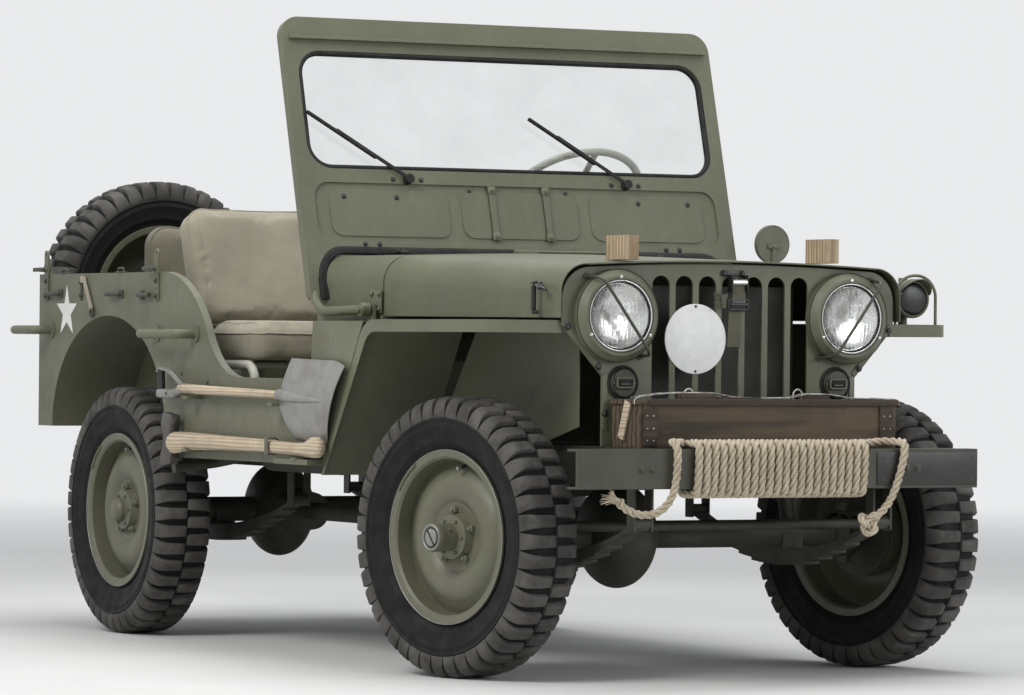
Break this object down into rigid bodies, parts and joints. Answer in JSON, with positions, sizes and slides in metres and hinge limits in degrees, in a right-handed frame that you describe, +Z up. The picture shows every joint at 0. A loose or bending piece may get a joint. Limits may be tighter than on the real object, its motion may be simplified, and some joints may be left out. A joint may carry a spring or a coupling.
{
  "type": "light army four-wheel-drive car",
  "caption": "Open light army car with slotted grille, folding windscreen, steered front wheels, rope on the bumper and a spare wheel behind.",
  "frame": {"origin": "on the ground under the middle of the car", "axes": "+X forward, +Y to the left, +Z up"},
  "size_m": [3.3545, 1.58, 1.7322],
  "materials": {
    "canvas": "plain canvas",
    "chassis_paint": "matte dark olive",
    "glass": "clear",
    "hand_wheel": "worn gloss",
    "paint": "satin olive drab",
    "rope": "laid fibre",
    "rubber": "matte",
    "sign_white": "matte white",
    "tyre": "matte rubber",
    "wheel_paint": "satin olive drab",
    "wood": "bare weathered"
  },
  "bodies": {
    "car": {"axe": "wood", "axle_front": "chassis_paint", "axle_rear": "chassis_paint", "bench_frame": "chassis_paint", "bench_pads": "canvas", "blackout_lamp": "paint", "bow_brackets": "paint", "bumper_front": "paint", "bumperettes": "chassis_paint", "cowl": "paint", "dampers": "chassis_paint", "dashboard": "paint", "engine": "chassis_paint", "exhaust": "chassis_paint", "fender_left": "paint", "fender_right": "paint", "frame": "chassis_paint", "gearbox": "chassis_paint", "grab_handles": "paint", "grille": "paint", "headlight_glass": "glass", "headlights": "paint", "lamp_guards": "paint", "leaf_springs": "chassis_paint", "levers": "chassis_paint", "mirror": "paint", "parking_lamps": "paint", "pedals": "chassis_paint", "propeller_shafts": "chassis_paint", "radiator": "chassis_paint", "rope_coil": "rope", "rope_tail_left": "rope", "rope_tail_right": "rope", "seat_frames": "chassis_paint", "seat_pads": "canvas", "shovel": "wood", "sign_plate": "sign_white", "steering_column": "chassis_paint", "stowage_box": "wood", "tow_hitch": "chassis_paint", "tub": "paint", "tyre_spare": "tyre", "wheel_spare": "wheel_paint"},
    "knuckle_right": {"knuckle_right": "chassis_paint"},
    "knuckle_left": {"knuckle_left": "chassis_paint"},
    "front_right_wheel": {"tyre_front_right": "tyre", "wheel_front_right": "wheel_paint"},
    "front_left_wheel": {"tyre_front_left": "tyre", "wheel_front_left": "wheel_paint"},
    "rear_right_wheel": {"tyre_rear_right": "tyre", "wheel_rear_right": "wheel_paint"},
    "rear_left_wheel": {"tyre_rear_left": "tyre", "wheel_rear_left": "wheel_paint"},
    "tie_rod": {"tie_rod": "chassis_paint"},
    "steering_wheel": {"steering_wheel": "hand_wheel"},
    "hood": {"hood": "paint", "rest_blocks": "wood"},
    "windscreen": {"windscreen_frame": "paint", "windscreen_glass": "glass", "wipers": "rubber"}
  },
  "joints": [
    {"name": "steer_right", "type": "hinge", "parent": "car", "child": "knuckle_right", "pos_m": [1.104, -0.523, 0.357], "axis": [0, 0, 1], "range_deg": [-35.8, 10.2]},
    {"name": "steer_left", "type": "hinge", "parent": "car", "child": "knuckle_left", "pos_m": [1.104, 0.523, 0.357], "axis": [0, 0, 1], "range_deg": [-35.8, 10.2]},
    {"name": "tie_rod_slide", "type": "slide", "parent": "car", "child": "tie_rod", "axis": [0, 1, 0], "range_m": [-0.101, 0.029]},
    {"name": "steering_wheel_turn", "type": "hinge", "parent": "car", "child": "steering_wheel", "pos_m": [-0.06, 0.33, 1.251], "axis": [-0.6691, 0, 0.7431], "range_deg": [-502, 143]},
    {"name": "spin_front_right", "type": "hinge", "parent": "knuckle_right", "child": "front_right_wheel", "pos_m": [1.12394, -0.61076, 0.357], "axis": [-0.2215, 0.9751, 0], "continuous": true},
    {"name": "spin_front_left", "type": "hinge", "parent": "knuckle_left", "child": "front_left_wheel", "pos_m": [1.08406, 0.61076, 0.357], "axis": [-0.2215, 0.9751, 0], "continuous": true},
    {"name": "spin_rear_right", "type": "hinge", "parent": "car", "child": "rear_right_wheel", "pos_m": [-0.928, -0.613, 0.357], "axis": [0, 1, 0], "continuous": true},
    {"name": "spin_rear_left", "type": "hinge", "parent": "car", "child": "rear_left_wheel", "pos_m": [-0.928, 0.613, 0.357], "axis": [0, 1, 0], "continuous": true},
    {"name": "hood_open", "type": "hinge", "parent": "car", "child": "hood", "pos_m": [0.547, 0, 1.096], "axis": [0, -1, 0], "range_deg": [0, 118]},
    {"name": "windscreen_fold", "type": "hinge", "parent": "car", "child": "windscreen", "pos_m": [0.525, 0, 0.935], "axis": [0, -1, 0], "range_deg": [-103.4, 0]}
  ],
  "couplings": [
    {"joint": "steer_left", "follows": "steer_right", "ratio": 1},
    {"joint": "tie_rod_slide", "follows": "steer_right", "m_per_rad": 0.161},
    {"joint": "steering_wheel_turn", "follows": "steer_right", "ratio": 14}
  ]
}
